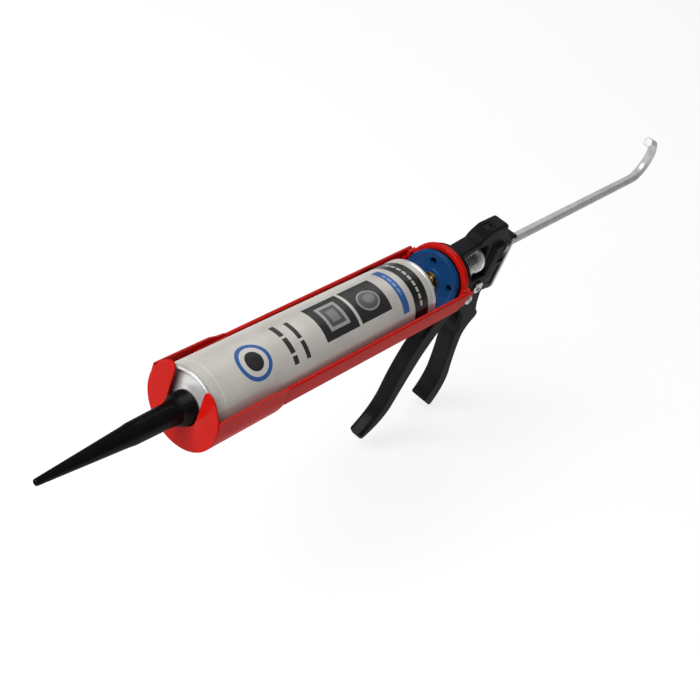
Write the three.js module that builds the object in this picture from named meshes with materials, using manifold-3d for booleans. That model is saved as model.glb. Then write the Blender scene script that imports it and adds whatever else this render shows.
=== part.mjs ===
// Cradle caulking gun with a cartridge in it.
// Millimetres. +X points to the nozzle, +Z up, +Y to the gun's left side.
// The origin is on the barrel axis, at the flat front face of the plunger's brass head, drawn right back.

import * as THREE from 'three';
import { mergeVertices } from 'three/addons/utils/BufferGeometryUtils.js';
import Module from 'manifold-3d';

const wasm = await Module();
wasm.setup();

// ---- driving dimensions ----

const gap = 0.3;               // between pieces that touch

// cradle
const plateX = 236;            // outer face of the front plate
const cupRadius = 27.6;
const cupSheet = 1.2;
const cupRimZ = 10.5;
const cupRearX = 178;
const slotHalfWidth = 11.45;
const railHeight = [-5, 8];    // lower and upper edge
const railOuterY = 27.6;       // at the cup
const railSheet = 1.3;
const railHem = 2.6;           // thickness of the folded top edge
const railRearX = -13;         // of the upper edge
const railSpread = 0.0082;     // radians that each rail opens towards the rear

// rear ring and body flange
const ringRadius = 25.3;
const ringFrontX = -10.5;
const ringRearX = -15;
const flangeRadius = 23.2;
const flangeRearX = -23;
const flangeFrontX = -12.5;    // of its spigot inside the ring
const screwX = -17;
const screwZ = -2;
const screwRadius = 1.9;
const tabInnerY = 25.8;
const tabOuterY = 26.2;

// rod
const rodAcrossFlats = 7.7;
const rodBore = 4.75;
const rodTailX = -320;         // where the hook starts
const hookRadius = 18.4;
const hookTurn = 158;          // degrees
const hookEnd = 14;            // straight end after the turn
const studRadius = 2.9;        // round front end of the rod, through the disc and into the head

// body
const bodyHalfWidth = 6.4;
const crownHalfWidth = 7;
const cheekHalfWidth = 9.5;
const slotForTrigger = 6.4;    // half width between the cheeks
const gripHalfWidth = 7.5;
const pivot = { x: -67, z: -22 };
const pinRadius = 3;

// trigger
const triggerHalfWidth = 6;

// drive plate and springs
const driveX = -57.3;          // front face of the drive plate
const driveThickness = 3;
const springRadius = 5.9;
const springWire = 0.7;

// release lever
const releaseX = -102;         // front face of the release plate
const releaseThickness = 3;
const releaseTopZ = 9;

// plunger
const discRadius = 22.4;
const discFrontX = -3.9;
const discThickness = 4.2;
const headThickness = 2.8;
const studDepth = 1.6;         // of the stud in the head

// cartridge
const tubeRadius = 24.8;       // over the label
const tubeInner = 23.95;
const labelSheet = 0.15;
const tubeRearX = 24;
const tubeFrontX = plateX - cupSheet - gap;
const tubeDrop = 1.2;          // the tube lies this far below the barrel axis
const neckRadius = 7.4;
const neckBore = 5.2;
const nozzleTipX = 335;

// ---- materials ----

const paint = (color) => new THREE.MeshStandardMaterial({ color, roughness: 0.3, metalness: 0.1 });
const metal = (color) => new THREE.MeshStandardMaterial({ color, roughness: 0.35, metalness: 1 });
const plastic = (color) => new THREE.MeshStandardMaterial({ color, roughness: 0.55, metalness: 0 });

const red = paint(0xc4261c);
const black = paint(0x1b1b1c);
const zinc = metal(0xb4b8ba);
const brass = metal(0xb08d4a);
const blue = paint(0x16407c);

// ---- helpers ----

// A closed solid from a three.js geometry, with shared vertices merged and flat triangles dropped.
function solid(geometry) {
  const bare = new THREE.BufferGeometry();
  bare.setAttribute('position', geometry.getAttribute('position'));
  if (geometry.index) bare.setIndex(geometry.index);
  const merged = mergeVertices(bare, 1e-4);
  const corners = [];
  const index = merged.index.array;
  for (let i = 0; i < index.length; i += 3) {
    const [a, b, c] = [index[i], index[i + 1], index[i + 2]];
    if (a !== b && b !== c && c !== a) corners.push(a, b, c);
  }
  return new wasm.Manifold(new wasm.Mesh({
    numProp: 3,
    vertProperties: new Float32Array(merged.getAttribute('position').array),
    triVerts: new Uint32Array(corners),
  }));
}

function geometryOf(body) {
  const { vertProperties, triVerts } = body.getMesh();
  const geometry = new THREE.BufferGeometry();
  geometry.setAttribute('position', new THREE.BufferAttribute(vertProperties, 3));
  geometry.setIndex(new THREE.BufferAttribute(triVerts, 1));
  geometry.computeVertexNormals();
  return geometry;
}

function join(...bodies) {
  return bodies.reduce((whole, body) => whole.add(body));
}

function cut(body, ...tools) {
  return tools.reduce((rest, tool) => rest.subtract(tool), body);
}

function outline(points) {
  return new THREE.Shape(points.map(([a, b]) => new THREE.Vector2(a, b)));
}

// Extrudes an outline drawn in X and Z along Y, from y0 to y1, with rounded edges of radius edge.
function sideways(shape, y0, y1, edge = 0) {
  const geometry = new THREE.ExtrudeGeometry(shape, {
    depth: y1 - y0 - 2 * edge,
    curveSegments: 8,
    bevelEnabled: edge > 0,
    bevelThickness: edge,
    bevelSize: edge,
    bevelOffset: -edge,
    bevelSegments: 2,
  });
  geometry.rotateX(Math.PI / 2);
  geometry.translate(0, y1 - edge, 0);
  return solid(geometry);
}

// Extrudes an outline drawn in Y and Z along X, from x0 to x1.
function lengthways(shape, x0, x1, curveSegments = 24) {
  const geometry = new THREE.ExtrudeGeometry(shape, { depth: x1 - x0, bevelEnabled: false, curveSegments });
  const turn = new THREE.Matrix4().makeBasis(
    new THREE.Vector3(0, 1, 0), new THREE.Vector3(0, 0, 1), new THREE.Vector3(1, 0, 0));
  geometry.applyMatrix4(turn);
  geometry.translate(x0, 0, 0);
  return solid(geometry);
}

// Turns a profile of [x, radius] points about the barrel axis.
function turned(profile, segments = 36) {
  const points = profile.map(([x, radius]) => new THREE.Vector2(radius, x));
  const geometry = new THREE.LatheGeometry(points, segments);
  geometry.rotateZ(-Math.PI / 2);
  return solid(geometry);
}

function rodAlongX(radius, x0, x1, segments = 24) {
  return turned([[x0, 0], [x0, radius], [x1, radius], [x1, 0]], segments);
}

function rodAlongY(radius, y0, y1, x, z, segments = 24) {
  const geometry = new THREE.CylinderGeometry(radius, radius, y1 - y0, segments);
  geometry.translate(x, (y0 + y1) / 2, z);
  return solid(geometry);
}

function block(x0, x1, y0, y1, z0, z1) {
  const geometry = new THREE.BoxGeometry(x1 - x0, y1 - y0, z1 - z0);
  geometry.translate((x0 + x1) / 2, (y0 + y1) / 2, (z0 + z1) / 2);
  return solid(geometry);
}

function ring(outer, inner) {
  const shape = new THREE.Shape().absarc(0, 0, outer, 0, 2 * Math.PI);
  shape.holes.push(new THREE.Path().absarc(0, 0, inner, 0, 2 * Math.PI, true));
  return shape;
}

function hexagon(acrossFlats) {
  const corner = acrossFlats / Math.sqrt(3);
  const angles = [0, 1, 2, 3, 4, 5].map((k) => k * Math.PI / 3);
  return outline(angles.map((angle) => [corner * Math.cos(angle), corner * Math.sin(angle)]));
}

// A coil spring round the barrel axis.
function coil(radius, wire, x0, x1, turns) {
  const steps = turns * 10;
  const points = [];
  for (let i = 0; i <= steps; i += 1) {
    const angle = 2 * Math.PI * turns * i / steps;
    const x = x0 + wire + (x1 - x0 - 2 * wire) * i / steps;
    points.push(new THREE.Vector3(x, radius * Math.cos(angle), radius * Math.sin(angle)));
  }
  const section = new THREE.Shape().absarc(0, 0, wire, 0, 2 * Math.PI);
  const path = new THREE.CatmullRomCurve3(points);
  return solid(new THREE.ExtrudeGeometry(section, { steps, extrudePath: path, curveSegments: 3 }));
}

const gun = new THREE.Group();

function place(name, body, material, parent = gun) {
  const mesh = new THREE.Mesh(geometryOf(body), material);
  mesh.name = name;
  parent.add(mesh);
  return mesh;
}

const mirrored = (body) => body.mirror([0, 1, 0]);

// ---- cradle ----

// A U-shaped section, open at the top.
function trough(radius, rimZ) {
  const shape = new THREE.Shape();
  shape.moveTo(-radius, rimZ);
  shape.lineTo(-radius, 0);
  shape.absarc(0, 0, radius, Math.PI, 2 * Math.PI);
  shape.lineTo(radius, rimZ);
  return shape;
}

// The front plate: a disc with an upright slot that the nozzle drops into, its round bottom on the barrel
// axis, and two lobes with rounded tips beside it. A short lip turns back round each lobe's rim.
function frontPlate() {
  const tip = 0.88;            // radians from +Y to where a lobe's rim starts to round over
  const radius = cupRadius;
  const slotTop = 17;
  const shape = new THREE.Shape();
  shape.moveTo(slotHalfWidth, 0);
  shape.lineTo(slotHalfWidth, slotTop);
  shape.quadraticCurveTo(slotHalfWidth + 0.4, radius - 3.4, radius * Math.cos(tip), radius * Math.sin(tip));
  shape.absarc(0, 0, radius, tip, -Math.PI - tip, true);
  shape.quadraticCurveTo(-slotHalfWidth - 0.4, radius - 3.4, -slotHalfWidth, slotTop);
  shape.lineTo(-slotHalfWidth, 0);
  shape.absarc(0, 0, slotHalfWidth, -Math.PI, 0);
  const plate = lengthways(shape, plateX - cupSheet, plateX, 30);
  const rounding = turned([
    [plateX - cupSheet - 1, 0],
    [plateX - cupSheet - 1, radius],
    [plateX - 0.5, radius - 0.2],
    [plateX, radius - 0.9],
    [plateX, 0],
  ], 60);
  return plate.intersect(rounding);
}

function frontCup() {
  const skirt = cut(
    lengthways(trough(cupRadius, cupRimZ), cupRearX, plateX - cupSheet / 2),
    lengthways(trough(cupRadius - cupSheet, cupRimZ + 5), cupRearX - 5, plateX - cupSheet),
  );
  const below = outline([
    [cupRearX - 10, railHeight[0]], [cupRearX, railHeight[0]], [cupRearX + 7, -cupRadius - 5],
    [cupRearX - 10, -cupRadius - 5],
  ]);
  const above = outline([
    [cupRearX - 10, railHeight[1]], [cupRearX, railHeight[1]], [cupRearX + 14, cupRimZ],
    [cupRearX + 14, cupRimZ + 5], [cupRearX - 10, cupRimZ + 5],
  ]);
  const opening = lengthways(trough(slotHalfWidth, cupRadius), plateX - cupSheet - 1, plateX + 1);
  const ends = [sideways(below, -40, 40), sideways(above, -40, 40)];
  return cut(join(frontPlate(), cut(skirt, opening)), ...ends);
}

function screwHole(radius) {
  return rodAlongY(radius, 20, 40, screwX, screwZ, 16);
}

// Left rail: a strip with its top edge folded inwards, and a thin tongue that laps inside the cup.
function leftRail() {
  const [low, high] = railHeight;
  const outer = railOuterY;
  const inner = outer - railSheet;
  const hemmed = outer - railHem;
  const section = outline([
    [outer, low], [outer, high - 0.8], [outer - 0.8, high], [hemmed + 0.8, high],
    [hemmed, high - 0.8], [hemmed, high - 4], [inner, high - 4], [inner, low],
  ]);
  const strip = lengthways(section, railRearX - 12, cupRearX - gap);
  const end = outline([
    [railRearX - 20, high + 2], [railRearX, high + 2], [railRearX, high - 2], [railRearX + 12, low - 1],
    [railRearX - 20, low - 1],
  ]);
  const tongueOuter = cupRadius - cupSheet - gap;
  const tongue = block(cupRearX - 6, cupRearX + 26, tongueOuter - 1, tongueOuter, low + 3, high - 1);
  const opened = cut(strip, sideways(end, 0, 40))
    .translate([-cupRearX, -outer, 0])
    .rotate([0, 0, -railSpread * 180 / Math.PI])
    .translate([cupRearX, outer, 0]);
  return join(opened, tongue);
}

// The ring that the rails are welded to, by a lug inside each rail. Its front edge turns in over the
// spigot, and a tab on each side reaches back over the body's flange.
function rearRing() {
  const bead = turned([
    [ringRearX, ringRadius],
    [ringFrontX - 0.8, ringRadius],
    [ringFrontX, ringRadius - 0.8],
    [ringFrontX, ringRadius - 3.1],
    [ringFrontX - 0.8, ringRadius - 3.9],
    [flangeFrontX + gap, ringRadius - 3.9],
    [flangeFrontX + gap, ringRadius - 2.3],
    [ringRearX, ringRadius - 2.3],
    [ringRearX, ringRadius],
  ], 44);
  const ear = block(ringRearX, -7, 23.4, tabOuterY, -6, 7.8);
  const tab = block(screwX - 6, ringFrontX - 0.5, tabInnerY, tabOuterY, -7, 3);
  const lug = block(ringRearX + 2, -4, 24.2, 27.5, -5, 3.6);
  const side = cut(join(ear, tab, lug), screwHole(screwRadius + 0.3));
  return join(bead, side, mirrored(side));
}

// A pan-head screw that holds the left tab to the flange.
function leftRailScrew() {
  const headY = tabOuterY + gap;
  const round = new THREE.Shape().absarc(screwX, screwZ, 3.6, 0, 2 * Math.PI);
  const head = sideways(round, headY, headY + 1.8, 0.6);
  return join(head, rodAlongY(screwRadius, 21.5, headY + 0.3, screwX, screwZ, 16));
}

place('front_cup', frontCup(), red);
place('rail_left', leftRail(), red);
place('rail_right', mirrored(leftRail()), red);
place('rear_ring', rearRing(), red);
place('rail_screw_left', leftRailScrew(), zinc);
place('rail_screw_right', mirrored(leftRailScrew()), zinc);

// ---- body casting ----

// A round plate that the rear ring sits against, with a lug at each side for its screw.
function flange() {
  const plate = turned([
    [flangeRearX, 0],
    [flangeRearX, flangeRadius - 1.5],
    [flangeRearX + 1.5, flangeRadius],
    [ringRearX - gap, flangeRadius],
    [ringRearX - gap, ringRadius - 2.6],
    [flangeFrontX, ringRadius - 2.6],
    [flangeFrontX, 0],
  ], 44);
  const lug = block(flangeRearX, ringRearX - gap, 18, tabInnerY - 0.6, -8, 4);
  const hole = screwHole(screwRadius + 0.3);
  return cut(join(plate, lug, mirrored(lug)), hole, mirrored(hole));
}

// The bridge over the rod, with a wider crown, and the rear guide that the rod leaves through.
function bridge() {
  const side = outline([
    [-16, 20], [-43, 22.5], [-48.5, 27], [-56.5, 30.8], [-77.5, 30.8], [-81, 28.4], [-84, 23.4],
    [-96, 11.5], [-96, -8.5], [-71, -8.5], [-66, -4], [-64.5, 9], [-62, 15.5], [-50, 17],
    [-30, 14], [-22, 8], [-16, 8],
  ]);
  const crown = outline([
    [-44, 18.5], [-44, 23.2], [-48.5, 27], [-56.5, 30.8], [-77, 30.8], [-80.2, 28.4], [-83, 23.6],
    [-85, 21], [-85, 17.5],
  ]);
  return join(
    sideways(side, -bodyHalfWidth, bodyHalfWidth, 1.2),
    sideways(crown, -crownHalfWidth, crownHalfWidth, 2),
  );
}

// Ribs that run down each side of the rear guide from the bridge to the cheeks.
function guideRibs() {
  const side = outline([[-72.5, 13], [-84, 13], [-84, -20], [-76, -20], [-72.5, -13]]);
  const between = block(-90, -60, -slotForTrigger, slotForTrigger, -40, -8.5);
  return cut(sideways(side, -cheekHalfWidth, cheekHalfWidth, 1.2), between);
}

// The hood that the top of the release plate hooks under.
function hood() {
  const under = releaseTopZ + 0.6;
  const side = outline([
    [-93, 14], [-97, 11.4], [-106, 11.2], [-107.5, 9.5], [-107.5, 5.6], [-105.8, 5.6],
    [-105.8, under], [-101, under], [-98, 7], [-94, 7],
  ]);
  return sideways(side, -bodyHalfWidth + 0.4, bodyHalfWidth - 0.4);
}

function cheeks() {
  const side = outline([
    [-16, -9], [-48, -12.5], [-72, -12.5], [-79, -16], [-80.5, -22], [-80.5, -33], [-84, -44],
    [-90, -56], [-80, -72], [-74, -72], [-71, -64], [-66, -50], [-48, -33], [-24, -24], [-16, -22],
  ]);
  return sideways(side, -cheekHalfWidth, cheekHalfWidth, 1.2);
}

function triggerSlot() {
  const side = outline([
    [flangeRearX, 0], [-82, 0], [-82, -38], [-76.5, -46], [-72, -60], [-70, -80], [-15, -80], [-15, -30],
    [flangeRearX, -26],
  ]);
  return sideways(side, -slotForTrigger, slotForTrigger);
}

function grip() {
  const side = new THREE.Shape();
  side.moveTo(-78, -46);
  side.quadraticCurveTo(-72, -62, -76, -82);
  side.quadraticCurveTo(-84, -106, -86.5, -126);
  side.quadraticCurveTo(-87, -142, -80, -151.5);
  side.lineTo(-96, -165);
  side.quadraticCurveTo(-107, -148, -102, -128);
  side.quadraticCurveTo(-94, -106, -90.5, -84);
  side.quadraticCurveTo(-90, -74, -98, -68);
  side.quadraticCurveTo(-102, -64, -98, -60);
  side.quadraticCurveTo(-86, -50, -84, -42);
  return sideways(side, -gripHalfWidth, gripHalfWidth, 1.6);
}

function bodyCasting() {
  const pinHole = rodAlongY(pinRadius + 0.2, -20, 20, pivot.x, pivot.z);
  const rodHole = rodAlongX(rodBore, -120, 10);
  const lower = join(cheeks(), grip()).subtract(triggerSlot());
  return cut(join(flange(), bridge(), guideRibs(), hood(), lower), pinHole, rodHole);
}

place('body_casting', bodyCasting(), black);

// ---- trigger ----

const triggerNose = { x: pivot.x + 2.5, z: pivot.z + 12.7, radius: 3.8 };

function trigger() {
  const lever = new THREE.Shape();
  lever.moveTo(-61, -19);
  lever.quadraticCurveTo(-38, -36, -24, -60);
  lever.quadraticCurveTo(-14, -82, -12.5, -108);
  lever.quadraticCurveTo(-13, -132, 7, -147);
  lever.lineTo(2, -153.5);
  lever.quadraticCurveTo(-18, -147, -24.5, -132);
  lever.quadraticCurveTo(-32, -100, -37, -84);
  lever.quadraticCurveTo(-47, -58, -72, -29);
  const hub = new THREE.Shape().absarc(pivot.x, pivot.z, 8, 0, 2 * Math.PI);
  const nose = new THREE.Shape().absarc(triggerNose.x, triggerNose.z, triggerNose.radius, 0, 2 * Math.PI);
  const neck = outline([
    [pivot.x - 6, pivot.z], [pivot.x + 7.5, pivot.z],
    [triggerNose.x + 3.4, triggerNose.z], [triggerNose.x - 3.4, triggerNose.z],
  ]);
  return cut(
    join(
      sideways(lever, -triggerHalfWidth, triggerHalfWidth, 2),
      sideways(hub, -triggerHalfWidth, triggerHalfWidth, 0.8),
      sideways(nose, -4, 4),
      sideways(neck, -4, 4),
    ),
    rodAlongY(pinRadius + 0.2, -20, 20, pivot.x, pivot.z),
  );
}

function triggerPin() {
  const headY = cheekHalfWidth + gap;
  const head = rodAlongY(5, headY, headY + 1.8, pivot.x, pivot.z);
  const shank = rodAlongY(pinRadius - 0.1, -cheekHalfWidth - 4.2, headY + 0.5, pivot.x, pivot.z);
  const hollow = rodAlongY(1.9, headY + 0.7, headY + 5, pivot.x, pivot.z, 16);
  return cut(join(head, shank), hollow);
}

function triggerNut() {
  const y1 = -cheekHalfWidth - gap;
  const shape = hexagon(9);
  const nut = sideways(shape, y1 - 3, y1).translate([pivot.x, 0, pivot.z]);
  return cut(nut, rodAlongY(pinRadius + 0.15, -30, 0, pivot.x, pivot.z));
}

place('trigger', trigger(), black);
place('trigger_pin', triggerPin(), zinc);
place('trigger_nut', triggerNut(), zinc);

// ---- drive plate, springs and release lever ----

function drivePlate() {
  const rearX = driveX - driveThickness;
  const disc = rodAlongX(10.2, rearX, driveX, 36);
  const tail = block(rearX, driveX, -5, 5, -14, -8);
  return cut(join(disc, tail), rodAlongX(rodBore, rearX - 5, driveX + 5));
}

function releasePlate() {
  const rearX = releaseX - releaseThickness;
  const shape = new THREE.Shape();
  shape.moveTo(6.3, releaseTopZ);
  shape.lineTo(-6.3, releaseTopZ);
  shape.lineTo(-6.3, -36);
  shape.absarc(0, -36, 6.3, Math.PI, 2 * Math.PI);
  return cut(lengthways(shape, rearX, releaseX, 12), rodAlongX(rodBore + 0.6, rearX - 5, releaseX + 5));
}

function thumbPad() {
  const side = new THREE.Shape();
  side.moveTo(releaseX + gap, -11.5);
  side.lineTo(-85, -11.5);
  side.lineTo(-86, -29);
  side.quadraticCurveTo(-87, -37, -95, -37);
  side.lineTo(releaseX + gap, -37);
  return sideways(side, -6, 6, 1.2);
}

place('drive_plate', drivePlate(), zinc);
place('drive_spring', coil(springRadius, springWire, driveX + gap, flangeRearX - gap, 9), zinc);
place('release_plate', releasePlate(), zinc);
place('thumb_pad', thumbPad(), black);
place('release_spring', coil(springRadius, 0.6, releaseX + gap, -97 - gap, 2), zinc);

// ---- plunger ----

// The half-turn at the rod's tail: a sector of a hexagonal ring.
function hookBend() {
  const corner = rodAcrossFlats / Math.sqrt(3);
  const section = [0, 1, 2, 3, 4, 5, 6].map((k) => {
    const angle = Math.PI / 6 + k * Math.PI / 3;
    return new THREE.Vector2(hookRadius + corner * Math.cos(angle), corner * Math.sin(angle));
  });
  const steps = [0, 0.25, 0.5, 0.75, 1];
  const sector = outline([[0, 0], ...steps.map((step) => {
    const angle = THREE.MathUtils.degToRad(270 - hookTurn * step);
    return [40 * Math.cos(angle), 40 * Math.sin(angle)];
  })]);
  const bend = solid(new THREE.LatheGeometry(section, 54)).intersect(sideways(sector, -10, 10));
  return bend.translate([rodTailX, 0, hookRadius]);
}

// The rod runs straight back and hooks up and over at its tail.
function plungerRod() {
  const frontX = discFrontX - discThickness - 3.1;
  const turn = THREE.MathUtils.degToRad(hookTurn);
  const end = lengthways(hexagon(rodAcrossFlats), -0.2, hookEnd)
    .rotate([0, hookTurn - 180, 0])
    .translate([rodTailX - hookRadius * Math.sin(turn), 0, hookRadius * (1 - Math.cos(turn))]);
  return join(
    lengthways(hexagon(rodAcrossFlats), rodTailX - 0.1, frontX),
    rodAlongX(studRadius, frontX - 1, studDepth - headThickness, 16),
    hookBend(),
    end,
  );
}

function plungerDisc() {
  const rearX = discFrontX - discThickness;
  const body = turned([
    [rearX, 0],
    [rearX, discRadius - 1],
    [rearX + 1, discRadius],
    [discFrontX - 1.4, discRadius],
    [discFrontX, discRadius - 1.6],
    [discFrontX, discRadius - 3],
    [discFrontX - 0.8, discRadius - 4.5],
    [discFrontX - 0.8, 10],
    [discFrontX, 9],
    [discFrontX, 0],
  ], 44);
  const holes = [0, 1, 2, 3].map((k) => {
    const angle = THREE.MathUtils.degToRad(15 + 90 * k);
    return rodAlongX(2.6, rearX - 5, discFrontX + 5, 16)
      .translate([0, 15.5 * Math.cos(angle), 15.5 * Math.sin(angle)]);
  });
  return cut(body, ...holes, rodAlongX(studRadius + gap, rearX - 5, discFrontX + 5, 16));
}

function washer(x0, x1, outer) {
  return lengthways(ring(outer, studRadius + gap), x0, x1, 16);
}

function brassHead() {
  const hexagonHead = lengthways(hexagon(12), -headThickness, 0);
  const hole = rodAlongX(studRadius + gap, -headThickness - 5, studDepth + gap - headThickness, 16);
  return cut(hexagonHead, hole);
}

place('plunger_rod', plungerRod(), zinc);
place('plunger_disc', plungerDisc(), blue);
const discRearX = discFrontX - discThickness;
place('backing_washer', washer(discRearX - 2.8, discRearX - gap, 4.4), zinc);
place('brass_washer', washer(discFrontX + gap, -headThickness - gap, 7), brass);
place('brass_head', brassHead(), brass);

// ---- cartridge ----

const cartridge = new THREE.Group();
cartridge.position.z = -tubeDrop;
gun.add(cartridge);

function cartridgeTube() {
  const skin = tubeRadius - labelSheet - 0.25;
  const shoulderX = tubeFrontX - 4;
  const endWall = 0.9;
  return turned([
    [tubeRearX, tubeInner],
    [tubeRearX, tubeRadius + 0.1],
    [tubeRearX + 2, tubeRadius + 0.1],
    [tubeRearX + 2.4, skin],
    [tubeFrontX - 1.8, skin],
    [tubeFrontX - 1.5, tubeRadius],
    [tubeFrontX - 0.6, tubeRadius],
    [tubeFrontX, tubeRadius - 0.8],
    [tubeFrontX - 0.8, tubeRadius - 1.8],
    [shoulderX, tubeRadius - 3],
    [shoulderX, 11],
    [tubeFrontX - 3, neckRadius + 2.2],
    [tubeFrontX - 3, neckRadius],
    [tubeFrontX + 9, neckRadius],
    [tubeFrontX + 9, neckBore],
    [shoulderX - endWall, neckBore],
    [shoulderX - endWall, tubeInner],
    [tubeRearX, tubeInner],
  ], 40);
}

function label() {
  return turned([
    [tubeRearX + 4, tubeRadius - labelSheet],
    [tubeRearX + 4, tubeRadius],
    [tubeFrontX - 2.1, tubeRadius],
    [tubeFrontX - 2.1, tubeRadius - labelSheet],
    [tubeRearX + 4, tubeRadius - labelSheet],
  ], 40);
}

function piston() {
  const radius = tubeInner - gap;
  return turned([
    [38.5, 0], [38.5, radius - 3], [36.2, radius - 2.2], [36.2, radius], [46, radius], [49, radius - 6],
    [49, 0],
  ], 36);
}

function nozzle() {
  const baseX = tubeFrontX - 2.6;
  const kinkX = plateX + 37;
  return turned([
    [baseX, neckRadius + gap],
    [baseX, 9.6],
    [baseX + 1, 10],
    [baseX + 7.5, 10],
    [baseX + 8.5, 9.2],
    [baseX + 9.5, 7.3],
    [baseX + 14, 7.1],
    [kinkX, 6.6],
    [kinkX + 4, 6.1],
    [nozzleTipX - 1, 2],
    [nozzleTipX, 1.6],
    [nozzleTipX, 1],
    [kinkX, 4.7],
    [tubeFrontX + 9 + gap, neckBore],
    [tubeFrontX + 9 + gap, neckRadius + gap],
    [baseX, neckRadius + gap],
  ], 30);
}

place('cartridge_tube', cartridgeTube(), metal(0xc9cbcc), cartridge);
place('cartridge_label', label(), paint(0xc8c3be), cartridge);
place('cartridge_piston', piston(), plastic(0xe8e8e6), cartridge);
place('nozzle', nozzle(), plastic(0x191919), cartridge);

export default gun;
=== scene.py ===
import math

import bmesh
import bpy
from mathutils import Matrix, Vector


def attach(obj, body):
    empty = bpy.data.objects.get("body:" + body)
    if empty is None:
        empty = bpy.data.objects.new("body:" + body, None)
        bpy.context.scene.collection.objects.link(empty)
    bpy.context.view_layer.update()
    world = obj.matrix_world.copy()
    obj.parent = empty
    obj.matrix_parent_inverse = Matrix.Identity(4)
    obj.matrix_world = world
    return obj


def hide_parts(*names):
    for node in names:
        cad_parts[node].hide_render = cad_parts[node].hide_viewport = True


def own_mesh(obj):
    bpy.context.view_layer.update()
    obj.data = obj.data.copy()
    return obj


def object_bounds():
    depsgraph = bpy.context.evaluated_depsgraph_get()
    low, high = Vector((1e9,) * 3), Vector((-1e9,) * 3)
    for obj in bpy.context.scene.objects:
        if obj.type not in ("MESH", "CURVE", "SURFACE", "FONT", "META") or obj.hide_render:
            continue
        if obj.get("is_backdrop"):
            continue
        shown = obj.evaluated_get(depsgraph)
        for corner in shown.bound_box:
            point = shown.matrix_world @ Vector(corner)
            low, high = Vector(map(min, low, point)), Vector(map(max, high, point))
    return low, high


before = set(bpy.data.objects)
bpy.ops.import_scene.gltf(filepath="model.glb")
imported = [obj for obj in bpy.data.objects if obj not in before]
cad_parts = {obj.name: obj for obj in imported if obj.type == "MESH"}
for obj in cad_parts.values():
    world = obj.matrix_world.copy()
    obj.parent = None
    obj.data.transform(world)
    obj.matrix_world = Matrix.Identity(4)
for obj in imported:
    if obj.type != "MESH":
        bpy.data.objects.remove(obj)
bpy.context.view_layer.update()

# Everything below is drawn in millimetres in the row frame and scaled by MM as it becomes a mesh:
# +X to the nozzle, +Y to the gun's left, +Z up, origin at the brass head's front face.
MM = 0.001

# ---- dimensions, as in the CAD part, except for edges and small details ----

PLATE_X = 236
CUP_RADIUS = 27.6
CUP_SHEET = 1.2
CUP_RIM_Z = 10.5
CUP_REAR_X = 178
SLOT_HALF = 11.45
SLOT_TOP = 17                  # where the slot's straight sides turn into the lobes' inner curves
LOBE_TIP = 0.88                # radians up from +Y to where a lobe's top meets the plate's rim
PLATE_ROUNDING = 0.9
RAIL_LOW, RAIL_HIGH = -5, 8
RAIL_SHEET = 1.3
RAIL_HEM = 2.6                 # thickness of the folded top edge
RAIL_REAR_X = -13
RAIL_SPREAD = 0.0082           # radians that each rail turns outwards, going to the rear
GAP = 0.3                      # clearance between pieces that fit together

RING_RADIUS = 25.3
RING_FRONT_X, RING_REAR_X = -10.5, -15
RING_LIP_X = -12.2             # rear of the ring's turned-in front edge
SCREW_X, SCREW_Z = -17, -2
TAB_INNER_Y, TAB_OUTER_Y = 25.8, 26.2

ROD_FLATS = 7.7
ROD_TAIL_X = -320
HOOK_RADIUS = 18.35
HOOK_TURN = 158                # degrees
HOOK_END = 14                  # straight length after the bend

PIVOT_X, PIVOT_Z = -67, -22
CHEEK_HALF = 9.5
DRIVE_X = -57.3                # front face of the drive plate
FLANGE_REAR_X = -23            # of the body's front flange, where the drive spring ends
RELEASE_X = -102               # front face of the release plate
RELEASE_SEAT_X = -96.3         # front end of the release spring, in the body
SPRING_RADIUS = 5.9
PIN_RADIUS = 2.9
RIVET_RADIUS = 5

DISC_RADIUS = 22.4
DISC_FRONT_X = -3.9
DISC_THICK = 4.2
ROD_FRONT_X = DISC_FRONT_X - DISC_THICK - 3.1    # of the hexagon, behind the backing washer
HOLE_CIRCLE = 15.5             # radius of the circle the disc's four holes lie on
HOLE_RADIUS = 2.6
HEAD_FLATS = 12
HEAD_THICK = 2.8
STUD_DEPTH = 1.6               # of the rod's stud in the brass head
STUD_RADIUS = 2.9

TUBE_RADIUS = 24.8
TUBE_INNER = 23.95
TUBE_REAR_X = 24
TUBE_FRONT_X = PLATE_X - CUP_SHEET - GAP
TUBE_DROP = 1.2                # of the cartridge's axis below the rod's
NECK_RADIUS = 7.4
NECK_BORE = 5.2
NOZZLE_TIP_X = 335


# ---- node materials ----

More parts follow.
